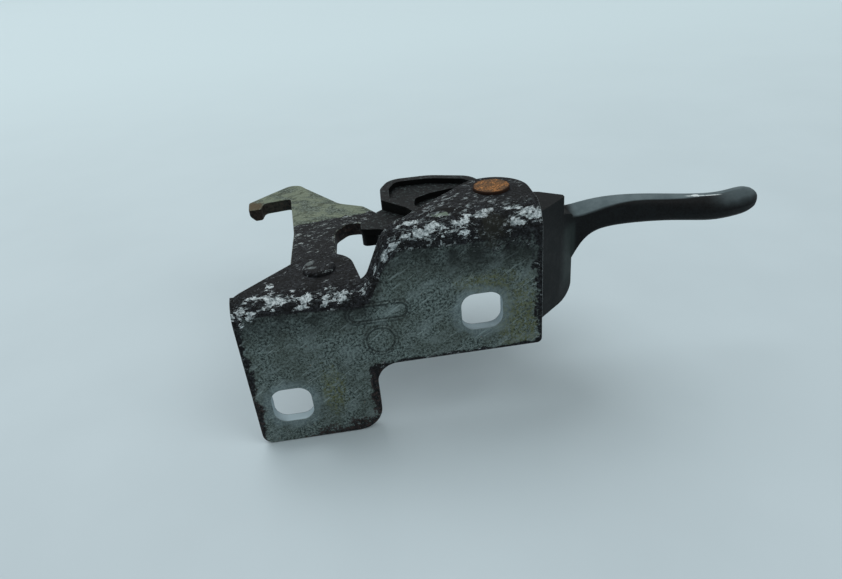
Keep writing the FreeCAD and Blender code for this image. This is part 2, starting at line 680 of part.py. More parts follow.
def make_handle():
    hub = cylinder(HUB_RADIUS, HUB_BOTTOM, HUB_TOP, HANDLE_PIVOT)
    hub = hub.makeChamfer(HUB_CHAMFER, [edge for edge in hub.Edges if edge.BoundBox.ZMin > HUB_TOP - 0.01])
    solid = hub.multiFuse([make_arm(), make_neck(), make_nose(), make_block(), make_grip()])
    bore = cylinder(BUSH_RADIUS + RUNNING_FIT, BLOCK_BOTTOM - 5, HUB_TOP + 5, HANDLE_PIVOT)
    stack_well = cylinder(HANDLE_WASHER_RADIUS + WELL_GAP, BLOCK_BOTTOM - 5, HUB_BOTTOM, HANDLE_PIVOT)
    return solid.cut(bore).cut(stack_well).cut(block_core()).removeSplitter()


def make_washer(radius, stack_end, at):
    return ring(radius, RIVET_SHANK + BUSH_WALL_FIT, stack_end - WASHER, stack_end, at)


handle_head = (HANDLE_HEAD, HANDLE_HEAD_HEIGHT, HANDLE_HEAD_ROUNDING)
hook_head = (HOOK_HEAD, HOOK_HEAD_HEIGHT, HOOK_HEAD_ROUNDING)
shapes = {
    "bracket": make_bracket(),
    "hook_lever": make_hook_lever(),
    "handle": make_handle(),
    "handle_rivet": make_rivet(HANDLE_PIVOT, HANDLE_STACK_END, HIGH_TOP, *handle_head),
    "hook_rivet": make_rivet(HOOK_PIVOT, HOOK_STACK_END, LOW_TOP, *hook_head),
    "handle_bush": ring(BUSH_RADIUS, RIVET_SHANK + BUSH_WALL_FIT, HANDLE_STACK_END, HIGH_UNDER, HANDLE_PIVOT),
    "handle_washer": make_washer(HANDLE_WASHER_RADIUS, HANDLE_STACK_END, HANDLE_PIVOT),
    "hook_bush": make_hook_bush(),
    "hook_spacer": ring(SPACER_RADIUS, BUSH_RADIUS + RUNNING_FIT, LOW_UNDER - SPACER, LOW_UNDER, HOOK_PIVOT),
    "hook_washer": make_washer(HOOK_WASHER_RADIUS, HOOK_STACK_END, HOOK_PIVOT),
    "hook_spring": make_hook_spring(),
}

for name, shape in shapes.items():
    if len(shape.Solids) == 1:
        shape = shape.Solids[0]
    print(name, len(shape.Solids), shape.isValid(), round(shape.Volume, 1))
    shape.exportStep("parts/" + name + ".step")
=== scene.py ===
# %% [markdown]
# # A hood release handle, dressed for its photograph
# The part is the safety catch from the front of a car: a folded steel bracket, a hooked steel lever on its
# low lobe and a black plastic release handle on its high lobe. The solids come from the CAD frame.
# This lesson softens their edges as pressing and moulding do, and gives each piece a finish of shader nodes.
# Then it sets out the table, the light and the camera.

import math

import bpy
from mathutils import Matrix, Vector


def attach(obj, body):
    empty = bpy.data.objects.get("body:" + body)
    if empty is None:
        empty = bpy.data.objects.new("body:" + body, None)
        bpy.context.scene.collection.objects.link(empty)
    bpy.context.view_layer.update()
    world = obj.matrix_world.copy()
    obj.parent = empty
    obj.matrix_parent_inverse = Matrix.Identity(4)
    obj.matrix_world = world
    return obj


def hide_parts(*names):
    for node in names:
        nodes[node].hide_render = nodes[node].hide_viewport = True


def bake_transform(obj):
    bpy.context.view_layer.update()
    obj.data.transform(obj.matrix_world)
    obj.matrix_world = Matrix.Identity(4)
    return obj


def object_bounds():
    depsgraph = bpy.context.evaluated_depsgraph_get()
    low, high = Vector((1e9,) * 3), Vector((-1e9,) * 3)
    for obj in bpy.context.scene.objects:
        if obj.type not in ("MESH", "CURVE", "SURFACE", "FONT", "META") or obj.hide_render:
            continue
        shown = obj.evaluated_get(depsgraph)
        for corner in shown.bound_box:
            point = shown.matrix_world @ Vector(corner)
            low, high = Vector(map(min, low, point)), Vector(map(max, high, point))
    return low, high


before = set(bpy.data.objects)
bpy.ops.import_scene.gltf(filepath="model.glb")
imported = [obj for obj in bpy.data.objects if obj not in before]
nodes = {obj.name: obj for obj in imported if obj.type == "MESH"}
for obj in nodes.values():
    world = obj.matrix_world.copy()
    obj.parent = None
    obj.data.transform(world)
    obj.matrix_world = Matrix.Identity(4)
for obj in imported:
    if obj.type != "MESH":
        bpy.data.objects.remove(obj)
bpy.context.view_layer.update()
MM = 0.001

# Places that the finishes share with the solids, in millimetres
SHEET = 2.5
LOW_TOP = 18.9
HIGH_TOP = 32.3
PLATE_LEFT = -31.0
PLATE_RIGHT = 36.0
PLATE_BOTTOM = -1.4
TAB_RIGHT = -2.3
TAB_BOTTOM = -19.4
HANDLE_PIVOT = (28.0, 12.8)
HOOK_PIVOT = (-12.0, 11.2)
BOLT_HOLES = ((22.5, 9.1), (-22.5, -9.1))
print("solids in the frame:", len(nodes))

# %% [markdown]
# ## Pieces with softened edges
# A pressed sheet and a moulding never have knife edges: the punch rolls one side over and the mould is
# rounded. A CAD edge is perfectly sharp, so it never catches the light. Each visible solid is therefore
# copied, its loose triangles are merged into clean faces, and a small bevel is cut along the sharp edges.
# The bevelled strips are marked, so that a finish can wear them bare, as handling does on the real part, and
# can also paint a highlight along them.


# %% Bevel the sharp edges and mark the strips
def activate(obj):
    """Make one object the only selected one."""
    bpy.ops.object.select_all(action="DESELECT")
    obj.select_set(True)
    bpy.context.view_layer.objects.active = obj


def apply_modifiers(obj):
    activate(obj)
    for modifier in list(obj.modifiers):
        bpy.ops.object.modifier_apply(modifier=modifier.name)


def bevel_edges(piece, edge_mm, sharp_degrees):
    """Bevel the sharp edges; the new strips get 1 in the attribute "rubbed"."""
    piece.data.materials.clear()
    piece.data.materials.append(None)
    piece.data.materials.append(None)
    bevel = piece.modifiers.new("edges", "BEVEL")
    bevel.width = edge_mm * MM
    bevel.segments = 2
    bevel.limit_method = "ANGLE"
    bevel.angle_limit = math.radians(sharp_degrees)
    bevel.material = 1
    apply_modifiers(piece)
    bevel_strip = piece.data.attributes.new("bevel_strip", "FLOAT", "FACE")
    for face in piece.data.polygons:
        bevel_strip.data[face.index].value = float(face.material_index)
        face.material_index = 0
    print(piece.name, "has", int(sum(item.value for item in bevel_strip.data)), "bevelled faces")


# %% Copy a solid and soften its edges
SHARP_DEGREES = 35.0
BRACKET_EDGE = 0.26
HOOK_EDGE = 0.35
HANDLE_EDGE = 0.45


def softened(node, name, edge_mm, body, sharp_degrees=SHARP_DEGREES):
    """Copy of a CAD solid with bevelled edges, which stands for it; with no body, it is left unattached."""
    mesh = nodes[node].data.copy()
    mesh.name = name
    piece = bpy.data.objects.new(name, mesh)
    bpy.context.scene.collection.objects.link(piece)
    activate(piece)
    bpy.ops.object.mode_set(mode="EDIT")
    bpy.ops.mesh.select_all(action="SELECT")
    bpy.ops.mesh.remove_doubles(threshold=0.002 * MM)
    bpy.ops.mesh.dissolve_limited(angle_limit=math.radians(0.4))
    bpy.ops.object.mode_set(mode="OBJECT")
    if edge_mm:
        bevel_edges(piece, edge_mm, sharp_degrees)
    activate(piece)
    bpy.ops.object.shade_smooth_by_angle(angle=math.radians(sharp_degrees))
    weighting = piece.modifiers.new("flat faces stay flat", "WEIGHTED_NORMAL")
    weighting.keep_sharp = True
    apply_modifiers(piece)
    if body:
        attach(piece, body)
    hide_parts(node)
    print(name, "has", len(piece.data.polygons), "faces")
    return piece


bracket = softened("bracket", "bracket_pressing", BRACKET_EDGE, "bracket")
hook = softened("hook_lever", "hook_blank", HOOK_EDGE, "hook")
handle = softened("handle", "handle_moulding", HANDLE_EDGE, "handle")

# %% [markdown]
# ## Turned rivets
# A rivet is a round bar whose ends are pressed into heads, so it is perfectly round and its rims are soft.
# Here each one is three cylinders on one axis: the shank, the head on the flange and the formed end below.
# The heads' outer rims are bevelled, the flat head of the handle a little and the dome of the hook far in.

# %% Find the rim of a head
ROUND_SIDES = 64


def pick_rim(piece, height_mm, radius_mm):
    """Select the circle of edges at one height and radius, in edit mode afterwards."""
    bpy.ops.object.mode_set(mode="EDIT")
    bpy.ops.mesh.select_all(action="DESELECT")
    bpy.ops.object.mode_set(mode="OBJECT")
    vertices = piece.data.vertices
    middle_x = sum(vertex.co.x for vertex in vertices) / len(vertices)
    middle_y = sum(vertex.co.y for vertex in vertices) / len(vertices)
    for edge in piece.data.edges:
        ends = [vertices[index].co for index in edge.vertices]
        level = all(abs(end.z - height_mm * MM) < 0.01 * MM for end in ends)
        reach = [math.hypot(end.x - middle_x, end.y - middle_y) for end in ends]
        edge.select = level and all(abs(length - radius_mm * MM) < 0.05 * MM for length in reach)
    print(piece.name, "rim edges:", sum(edge.select for edge in piece.data.edges))
    bpy.ops.object.mode_set(mode="EDIT")


# %% Turn the rivets
SHANK_RADIUS = 3.0

# Radius, height and rounding of an end; then the flange's face and the washer's face of each rivet
FORMED = (4.2, 1.8, 1.2)
HANDLE_HEAD = (4.05, 0.7, 0.3)
HOOK_HEAD = (3.7, 1.1, 0.95)
HANDLE_STACK = (HIGH_TOP, 12.7)
HOOK_STACK = (LOW_TOP, 4.96)


def turned_rivet(node, name, at, stack, head):
    """Rivet with a head on the flange and a formed end under its washer."""
    seat, washer = stack
    ends = ((head, seat, 1), (FORMED, washer, -1))
    bpy.ops.object.select_all(action="DESELECT")
    bpy.ops.mesh.primitive_cylinder_add(
        vertices=ROUND_SIDES, radius=SHANK_RADIUS * MM, depth=(seat - washer) * MM
    )
    piece = bpy.context.object
    piece.name = name
    bpy.ops.object.mode_set(mode="EDIT")
    bpy.ops.mesh.select_all(action="SELECT")
    bpy.ops.transform.translate(value=(at[0] * MM, at[1] * MM, (seat + washer) / 2 * MM))
    for (radius, height, _), face, way in ends:
        place = (at[0] * MM, at[1] * MM, (face + way * height / 2) * MM)
        bpy.ops.mesh.primitive_cylinder_add(
            vertices=ROUND_SIDES, radius=radius * MM, depth=height * MM, location=place
        )
    for (radius, height, rounding), face, way in ends:
        pick_rim(piece, face + way * height, radius)
        bpy.ops.mesh.bevel(offset=rounding * MM, segments=6, affect="EDGES")
    bpy.ops.object.mode_set(mode="OBJECT")
    bpy.ops.object.shade_smooth_by_angle(angle=math.radians(SHARP_DEGREES))
    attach(piece, "bracket")
    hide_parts(node)
    print(name, "spans", [round(side / MM, 2) for side in piece.dimensions])
    return piece


handle_rivet = turned_rivet(
    "handle_rivet", "handle_rivet_turned", HANDLE_PIVOT, HANDLE_STACK, HANDLE_HEAD
)
hook_rivet = turned_rivet(
    "hook_rivet", "hook_rivet_turned", HOOK_PIVOT, HOOK_STACK, HOOK_HEAD
)

# %% [markdown]
# ## Smooth spring wire
# The solid of the spring has an eight-sided wire, which is enough for its weight and its collisions. Real
# wire is drawn round, so the copy is subdivided once: each ring of eight corners becomes one of sixteen.
# Its low leg rests on the plate and its high leg stands in the lever's hole. When the lever swings, the coil
# winds up a little from the one to the other.


# %% Round the spring wire
WIRE_SHARP_DEGREES = 60.0


def rounded_wire(node, name):
    """Copy of a wire without bevels, subdivided once."""
    piece = softened(node, name, 0.0, None, WIRE_SHARP_DEGREES)
    smoothing = piece.modifiers.new("round", "SUBSURF")
    smoothing.levels = 1
    smoothing.render_levels = 1
    apply_modifiers(piece)
    bpy.ops.object.shade_smooth()
    return piece


spring = rounded_wire("hook_spring", "hook_spring_wire")
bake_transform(spring)
print("spring faces:", len(spring.data.polygons))

# %% [markdown]
# ## Stamped outlines on the plate
# The press leaves two shallow marks on the flat face: a long oval outline and a ring. Each is a thin bead
# sunk into the plate. Both start as a ring; the oval's two halves are pulled apart, which keeps its ends
# round.

# %% Press the oval and the ring
OVAL_AT = (-0.2, 12.5)
OVAL_RADIUS = 2.1
OVAL_HALF = 4.6
RING_AT = (-0.4, 5.3)
RING_RADIUS = 3.5
BEAD = 0.24
BEAD_SUNK = 0.10


def bead(name, x_mm, z_mm, radius_mm, half_length_mm):
    """Thin raised line round a circle, or round an oval when it has a half length."""
    bpy.ops.object.select_all(action="DESELECT")
    bpy.ops.mesh.primitive_torus_add(
        major_radius=radius_mm * MM, minor_radius=BEAD * MM, major_segments=ROUND_SIDES, minor_segments=10
    )
    piece = bpy.context.object
    piece.name = name
    for side in (-1, 1):
        bpy.ops.object.mode_set(mode="EDIT")
        bpy.ops.mesh.select_all(action="DESELECT")
        bpy.ops.object.mode_set(mode="OBJECT")
        for vertex in piece.data.vertices:
            vertex.select = vertex.co.x * side > 1e-7
        bpy.ops.object.mode_set(mode="EDIT")
        bpy.ops.transform.translate(value=(side * half_length_mm * MM, 0, 0))
        bpy.ops.object.mode_set(mode="OBJECT")
    bpy.ops.object.mode_set(mode="EDIT")
    bpy.ops.mesh.select_all(action="SELECT")
    bpy.ops.transform.rotate(value=math.radians(90), orient_axis="X", center_override=(0, 0, 0))
    bpy.ops.transform.translate(value=(x_mm * MM, BEAD_SUNK * MM, z_mm * MM))
    bpy.ops.object.mode_set(mode="OBJECT")
    bpy.ops.object.shade_smooth()
    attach(piece, "bracket")
    print(name, "spans", [round(side / MM, 1) for side in piece.dimensions])
    return piece


oval_mark = bead("stamped_oval", *OVAL_AT, OVAL_RADIUS, OVAL_HALF)
ring_mark = bead("stamped_ring", *RING_AT, RING_RADIUS, 0.0)

# %% [markdown]
# ## Shader helpers
# Every finish below is a small graph of shader nodes. Three classes keep the graphs readable, each built on
# the one before: joining and arithmetic, then patterns, then surfaces. Each method adds one kind of node and
# joins its inputs. Colours are typed as the familiar 0 to 255 values and turned into linear light once.


# %% Colours
def tone(red, green, blue):
    """Linear colour from the 0 to 255 values of a screen colour."""
    linear = []
    for value in (red, green, blue):
        share = value / 255.0
        linear.append(share / 12.92 if share <= 0.04045 else ((share + 0.055) / 1.055) ** 2.4)
    return (*linear, 1.0)


print("mid grey is", [round(value, 3) for value in tone(128, 128, 128)[:3]])


# %% Joining and arithmetic
class Graph:
    """A material's node tree with short calls for joining nodes and for arithmetic."""

    def __init__(self, name):
        self.material = bpy.data.materials.new(name)
        self.material.use_nodes = True
        self.tree = self.material.node_tree
        self.shader = self.tree.nodes["Principled BSDF"]
        coordinates = self.tree.nodes.new("ShaderNodeTexCoord")
        self.place = coordinates.outputs["Object"]
        self.facing = coordinates.outputs["Normal"]
        self.x, self.y, self.z = self.axes(self.place)

    def feed(self, socket, value):
        """Join another node's output to a socket, or type a plain value into it."""
        if isinstance(value, bpy.types.NodeSocket):
            self.tree.links.new(value, socket)
        else:
            socket.default_value = value

    def math(self, operation, first, second=0.0):
        step = self.tree.nodes.new("ShaderNodeMath")
        step.operation = operation
        self.feed(step.inputs[0], first)
        self.feed(step.inputs[1], second)
        return step.outputs[0]

    def add(self, first, second):
        return self.math("ADD", first, second)

    def both(self, first, second):
        """Product of two amounts: 1 only where both are 1."""
        return self.math("MULTIPLY", first, second)

    def most(self, *values):
        """The highest of several amounts."""
        highest = values[0]
        for value in values[1:]:
            highest = self.math("MAXIMUM", highest, value)
        return highest

    def vector(self, operation, first, second, third=(0, 0, 0)):
        step = self.tree.nodes.new("ShaderNodeVectorMath")
        step.operation = operation
        self.feed(step.inputs[0], first)
        self.feed(step.inputs[1], second)
        self.feed(step.inputs[2], third)
        return step.outputs["Value" if operation == "LENGTH" else "Vector"]

    def axes(self, vector):
        split = self.tree.nodes.new("ShaderNodeSeparateXYZ")
        self.feed(split.inputs[0], vector)
        return split.outputs[0], split.outputs[1], split.outputs[2]

    def join(self, x, y, z=0.0):
        combined = self.tree.nodes.new("ShaderNodeCombineXYZ")
        for socket, value in zip(combined.inputs, (x, y, z)):
            self.feed(socket, value)
        return combined.outputs[0]

    def fade(self, value, low, high, low_out=0.0, high_out=1.0):
        """Smooth step of a value from low to high."""
        ramp = self.tree.nodes.new("ShaderNodeMapRange")
        ramp.interpolation_type = "SMOOTHSTEP"
        self.feed(ramp.inputs["Value"], value)
        ramp.inputs["From Min"].default_value = low
        ramp.inputs["From Max"].default_value = high
        ramp.inputs["To Min"].default_value = low_out
        ramp.inputs["To Max"].default_value = high_out
        return ramp.outputs[0]

    def fade_mm(self, value, low, high, low_out=0.0, high_out=1.0):
        """Smooth step of a length, with its limits in millimetres."""
        return self.fade(value, low * MM, high * MM, low_out, high_out)


print("joining and arithmetic:", len([name for name in vars(Graph) if name[0] != "_"]), "methods")

# %% [markdown]
# ## Patterns
# Dirt and wear are noise, never drawn by hand. A patch of wear is an oval whose border a noise pushes about,
# and a spray is a noise whose dots grow together where there is more paint. Streaks are a noise whose
# coordinate is turned and stretched.


# %% Patterns
class Patterns(Graph):
    """Noises, distances, torn patches and sprays."""

    def bevel_strip(self):
        """1 on the bevelled strips along sharp edges."""
        reader = self.tree.nodes.new("ShaderNodeAttribute")
        reader.attribute_name = "bevel_strip"
        return reader.outputs["Fac"]

    def grain(self, long=(1, 1, 1), turn=(0, 0, 0)):
        """Place for a noise whose blobs are turned, and so many times longer along each axis."""
        mapping = self.tree.nodes.new("ShaderNodeMapping")
        mapping.vector_type = "TEXTURE"
        self.feed(mapping.inputs["Vector"], self.place)
        mapping.inputs["Rotation"].default_value = [math.radians(angle) for angle in turn]
        mapping.inputs["Scale"].default_value = long
        return mapping.outputs[0]

    def noise(self, size_mm, detail=4.0, roughness=0.55, distortion=0.0, place=None):
        """Cloudy pattern whose blobs are about size_mm across."""
        cloud = self.tree.nodes.new("ShaderNodeTexNoise")
        self.feed(cloud.inputs["Vector"], self.place if place is None else place)
        cloud.inputs["Scale"].default_value = 1.0 / (size_mm * MM)
        cloud.inputs["Detail"].default_value = detail
        cloud.inputs["Roughness"].default_value = roughness
        cloud.inputs["Distortion"].default_value = distortion
        return cloud.outputs["Fac"]

    def sway(self, value, noise, reach_mm):
        """A length that a noise pushes up and down by about half its reach."""
        return self.add(value, self.both(self.math("SUBTRACT", noise, 0.5), reach_mm * MM))

    def away(self, across, along, x, y):
        """Distance from a point, in metres."""
        offset = self.vector("SUBTRACT", self.join(across, along), (x * MM, y * MM, 0))
        return self.vector("LENGTH", offset, (0, 0, 0))

    def patches(self, across, along, spots, torn, reach=1.0, soft=0.05):
        """1 inside torn patches, each given as centre and half size in millimetres."""
        ground = self.join(across, along)
        field = None
        for x, y, half_x, half_y in spots:
            scale = (1.0 / (half_x * MM), 1.0 / (half_y * MM), 0)
            offset = (-x / half_x, -y / half_y, 0)
            distance = self.vector("LENGTH", self.vector("MULTIPLY_ADD", ground, scale, offset), (0, 0, 0))
            field = distance if field is None else self.math("MINIMUM", field, distance)
        edge = self.add(field, self.both(self.math("SUBTRACT", torn, 0.5), reach * 2.0))
        return self.fade(edge, 1.0 + soft, 1.0 - soft)

    def spray(self, amount, noise):
        """1 in dots that grow together as the amount nears 1."""
        return self.fade(self.add(noise, self.both(amount, 0.55)), 0.70, 0.80)


print("patterns:", [name for name in vars(Patterns) if name[0] != "_"])


# %% Surfaces
class Surface(Patterns):
    """Colours laid over each other, relief, and the shader at the end."""

    def blend(self, amount, under, over):
        """One colour over another, where the amount is 1."""
        mixer = self.tree.nodes.new("ShaderNodeMix")
        mixer.data_type = "RGBA"
        self.feed(mixer.inputs["Factor"], amount)
        self.feed(mixer.inputs["A"], under)
        self.feed(mixer.inputs["B"], over)
        return mixer.outputs["Result"]

    def relief(self, height, strength, depth_mm, below=None):
        """Fine relief, which can lie on another relief."""
        bump = self.tree.nodes.new("ShaderNodeBump")
        self.feed(bump.inputs["Height"], height)
        bump.inputs["Strength"].default_value = strength
        bump.inputs["Distance"].default_value = depth_mm * MM
        if below is not None:
            self.feed(bump.inputs["Normal"], below)
        return bump.outputs[0]

    def finish(self, colour, roughness, metal, normal, gloss=0.5):
        """Join everything to the shader, and give the material back."""
        self.feed(self.shader.inputs["Base Color"], colour)
        self.feed(self.shader.inputs["Roughness"], roughness)
        self.feed(self.shader.inputs["Metallic"], metal)
        self.feed(self.shader.inputs["Normal"], normal)
        self.feed(self.shader.inputs["Specular IOR Level"], gloss)
        return self.material


def dress(material, *pieces):
    """Give a material to pieces, in place of what they had."""
    for piece in pieces:
        piece.data.materials.clear()
        piece.data.materials.append(material)
    print(material.name, "uses", len(material.node_tree.nodes), "nodes")


print("surfaces:", [name for name in vars(Surface) if name[0] != "_"])

# %% [markdown]
# ## The unrolled sheet
# Paint runs and chips follow the fold, not the axes. So the sheet is unrolled: one coordinate runs along the
# part, the other from the plate (negative) over the fold (zero) to the flange (positive). The fold stands at
# two heights with an S between them, and a curve node carries that line.

# %% Unroll the folded sheet
FOLD_LINE = (
    (-6.0, 18.9), (-4.6, 18.9), (-3.0, 19.29), (-1.4, 20.98), (0.0, 24.1), (1.5, 27.5),
    (3.0, 29.75), (5.0, 31.3), (7.0, 32.09), (8.8, 32.3), (10.0, 32.3),
)


def fold_coordinate(g):
    """Distance over the fold line, unrolled; the bend itself runs from -5.5 mm to 5.5 mm."""
    first, last = FOLD_LINE[0][0], FOLD_LINE[-1][0]
    share = g.fade_mm(g.x, first, last)
    share.node.interpolation_type = "LINEAR"
    curve = g.tree.nodes.new("ShaderNodeFloatCurve")
    g.feed(curve.inputs["Value"], share)
    track = curve.mapping.curves[0]
    for index, (place, height) in enumerate(FOLD_LINE):
        spot = ((place - first) / (last - first), (height - LOW_TOP) / (HIGH_TOP - LOW_TOP))
        if 0 < index < len(FOLD_LINE) - 1:
            track.points.new(*spot)
        else:
            track.points[0 if index == 0 else -1].location = spot
    curve.mapping.update()
    top = g.add(g.both(curve.outputs[0], (HIGH_TOP - LOW_TOP) * MM), LOW_TOP * MM)
    return g.add(g.y, g.math("SUBTRACT", g.z, top))


print("the fold rises", round(HIGH_TOP - LOW_TOP, 1), "mm over", len(FOLD_LINE), "points")

# %% [markdown]
# ## The plate's bare zinc
# The plate lay flat against the car, where paint couldn't reach, so it kept its zinc. The coat went dull and
# gritty: dark grains between lighter ones, long rubbing marks that climb to the right, and an olive bloom
# near the right edge. The walls of the square holes stayed clean.

# %% Dull zinc with rubbing marks
PALE_CLIMB = (0, -30, 0)
RUB_CLIMB = (0, -33, 0)
CUT_CLIMB = (0, -24, 0)


def bare_zinc(g):
    grit = g.noise(0.55, 5.0, 0.8)
    zinc = g.blend(g.fade(grit, 0.42, 0.58), tone(32, 39, 38), tone(112, 127, 125))
    cloud = g.noise(8.0, 4.0, 0.6)
    zinc = g.blend(g.fade(cloud, 0.42, 0.60, 0.0, 0.45), zinc, tone(64, 72, 66))
    pale = g.noise(3.5, 5.0, 0.7, 0.4, g.grain((2.0, 1, 1), PALE_CLIMB))
    zinc = g.blend(g.fade(pale, 0.50, 0.64, 0.0, 0.45), zinc, tone(118, 132, 132))
    rubs = g.noise(0.7, 5.0, 0.7, 0.2, g.grain((9.0, 1, 1), RUB_CLIMB))
    zinc = g.blend(g.fade(rubs, 0.57, 0.65, 0.0, 0.6), zinc, tone(140, 155, 155))
    cuts = g.noise(0.6, 5.0, 0.7, 0.2, g.grain((12.0, 1, 1), CUT_CLIMB))
    zinc = g.blend(g.fade(cuts, 0.60, 0.68, 0.0, 0.6), zinc, tone(34, 40, 39))
    specks = g.fade(g.noise(1.1, 3.0, 0.8), 0.62, 0.67)
    return g.blend(g.both(specks, 0.8), zinc, tone(16, 19, 19))


print("rubbing marks climb at", -RUB_CLIMB[1], "and", -CUT_CLIMB[1], "degrees")

# %% Dirt beside the stamped beads
DIRT_INSIDE = 0.38
DIRT_OUTSIDE = 0.40


def stamp_line(g):
    """Dirt in the crease beside each stamped bead."""
    from_middle = g.math("ABSOLUTE", g.add(g.x, -OVAL_AT[0] * MM))
    oval_x = g.math("MAXIMUM", g.math("SUBTRACT", from_middle, OVAL_HALF * MM), 0.0)
    oval = g.away(oval_x, g.z, 0.0, OVAL_AT[1])
    ring = g.away(g.x, g.z, *RING_AT)
    lines = []
    for distance, radius in ((oval, OVAL_RADIUS), (ring, RING_RADIUS)):
        inside = g.math("ABSOLUTE", g.add(distance, -(radius - DIRT_INSIDE) * MM))
        lines.append(g.fade_mm(inside, 0.34, 0.12))
        outside = g.math("ABSOLUTE", g.add(distance, -(radius + DIRT_OUTSIDE) * MM))
        lines.append(g.fade_mm(outside, 0.30, 0.10, 0.0, 0.7))
    return g.both(g.most(*lines), g.fade(g.noise(1.6, 4.0, 0.6), 0.35, 0.55, 0.25, 0.8))


print("dirt lies", DIRT_INSIDE, "mm inside and", DIRT_OUTSIDE, "mm outside each bead")

# %% Stains and clean rings
OLIVE_BLOOMS = ((31.0, 5.5, 5.0, 9.0), (24.0, 16.5, 6.0, 2.0), (-12.6, -7.0, 2.4, 6.0))
CLEAN_RING = (7.6, 5.6)
HOLE_REACH = (6.6, 6.2)


def stained_zinc(g):
    zinc = bare_zinc(g)
    torn = g.noise(2.2, 6.0, 0.75)
    bloom = g.patches(g.x, g.z, OLIVE_BLOOMS, torn, 1.6, 0.5)
    bloom = g.both(bloom, g.fade(g.noise(0.9, 4.0, 0.8), 0.44, 0.56))
    zinc = g.blend(g.both(bloom, 0.6), zinc, tone(92, 96, 54))
    rust = g.fade(g.noise(1.2, 3.0, 0.7, 0.0, g.grain((1, 1, 1), (20, 0, 50))), 0.70, 0.74)
    zinc = g.blend(g.both(rust, 0.7), zinc, tone(96, 66, 44))
    from_holes = [g.sway(g.away(g.x, g.z, *hole), torn, 9.0) for hole in BOLT_HOLES]
    rings = g.most(*[g.fade_mm(distance, *CLEAN_RING) for distance in from_holes])
    zinc = g.blend(g.both(rings, 0.35), zinc, tone(124, 141, 146))
    return g.blend(stamp_line(g), zinc, tone(30, 36, 36))


def hole_walls(g):
    """1 on the walls of the square holes."""
    near = g.most(*[g.fade_mm(g.away(g.x, g.z, *hole), *HOLE_REACH) for hole in BOLT_HOLES])
    return g.both(g.both(near, g.fade_mm(g.y, 0.05, 0.3)), g.fade_mm(g.y, SHEET, SHEET - 0.2))


print("olive blooms:", len(OLIVE_BLOOMS), "and clean rings:", len(BOLT_HOLES))

# %% [markdown]
# ## The bracket's black paint
# The car's paint was sprayed from the flange side. It covers the flange and the fold, ends in a soft dotted
# line just below the fold, and drifted round the plate's borders. It is a dark purple grey with pale
# pin marks, and lies thicker and darker in the S of the fold.

# %% Where the paint lies
DRIFT = 9.0
TAB_START = (1.0, -2.5)
FOOT_START = (PLATE_BOTTOM - 4.0, PLATE_BOTTOM - 8.0)


def paint_amount(g, fold):
    """How much paint is on the plate: 1 at its borders and below the fold, 0 in its middle."""
    depth = g.fade_mm(g.x, -28.0, 20.0, 2.2 * MM, 5.0 * MM)
    below_fold = g.fade_mm(g.add(fold, depth), -2.6, 0.2)
    smear = g.both(g.fade_mm(fold, -15.0, -6.0), g.fade_mm(g.x, 8.0, 30.0, 0.1, 0.5))
    left_smear = g.both(g.fade_mm(fold, -8.0, -3.0), g.fade_mm(g.x, 0.0, -6.0, 0.1, 0.36))
    cloud = g.noise(7.0, 4.0, 0.65)
    drifted = g.sway(g.x, cloud, DRIFT)
    left = g.fade_mm(drifted, PLATE_LEFT + 2.6, PLATE_LEFT - 0.6)
    right = g.both(g.fade_mm(drifted, PLATE_RIGHT - 3.2, PLATE_RIGHT + 0.4), 0.9)
    low = g.fade_mm(g.sway(g.z, cloud, 4.0), PLATE_BOTTOM + 1.5, PLATE_BOTTOM - 0.2)
    low = g.both(low, g.fade_mm(g.x, 1.0, 4.0))
    tab = g.fade_mm(g.sway(g.x, cloud, 8.0), TAB_RIGHT - 2.8, TAB_RIGHT + 0.2)
    tab = g.both(g.both(tab, g.fade_mm(g.z, *TAB_START)), 0.8)
    slanted = g.add(g.sway(g.z, cloud, 8.0), g.both(g.x, -0.2))
    foot = g.fade_mm(slanted, TAB_BOTTOM + 8.5, TAB_BOTTOM + 1.6)
    foot = g.both(foot, g.fade_mm(g.z, *FOOT_START, 0.0, 0.7))
    return g.most(below_fold, smear, left_smear, left, right, low, tab, foot)


print("the paint's border drifts by about", DRIFT / 2, "mm")

# %% The black coat itself
PIN_GRAIN = ((2.4, 1, 1), (0, 0, 28))


def black_paint(g, worn):
    """Dark coat; worn, from 0 to 1, adds pale pin marks."""
    grit = g.noise(0.6, 5.0, 0.8)
    paint = g.blend(g.fade(grit, 0.45, 0.58), tone(4, 5, 6), tone(40, 43, 47))
    cloud = g.noise(5.0, 5.0, 0.65)
    paint = g.blend(g.fade(cloud, 0.46, 0.62, 0.0, 0.6), paint, tone(9, 10, 11))
    pins = g.add(g.noise(1.0, 6.0, 0.8, 0.3, g.grain(*PIN_GRAIN)), g.both(worn, 0.07))
    return g.blend(g.fade(pins, 0.62, 0.66, 0.0, 0.85), paint, tone(138, 148, 150))


print("pin marks are", PIN_GRAIN[0][0], "times as long as wide")

# %% [markdown]
# ## Chips along the fold
# Stones and the hood's striker hit the fold first, and there the black broke away in flakes down to bright
# metal. A flake has a ragged edge, islands of paint inside it and a torn look along the sheet, so each patch
# is an oval whose border is pushed about by a streaky noise. Thinner scrapes lie around the big flakes.

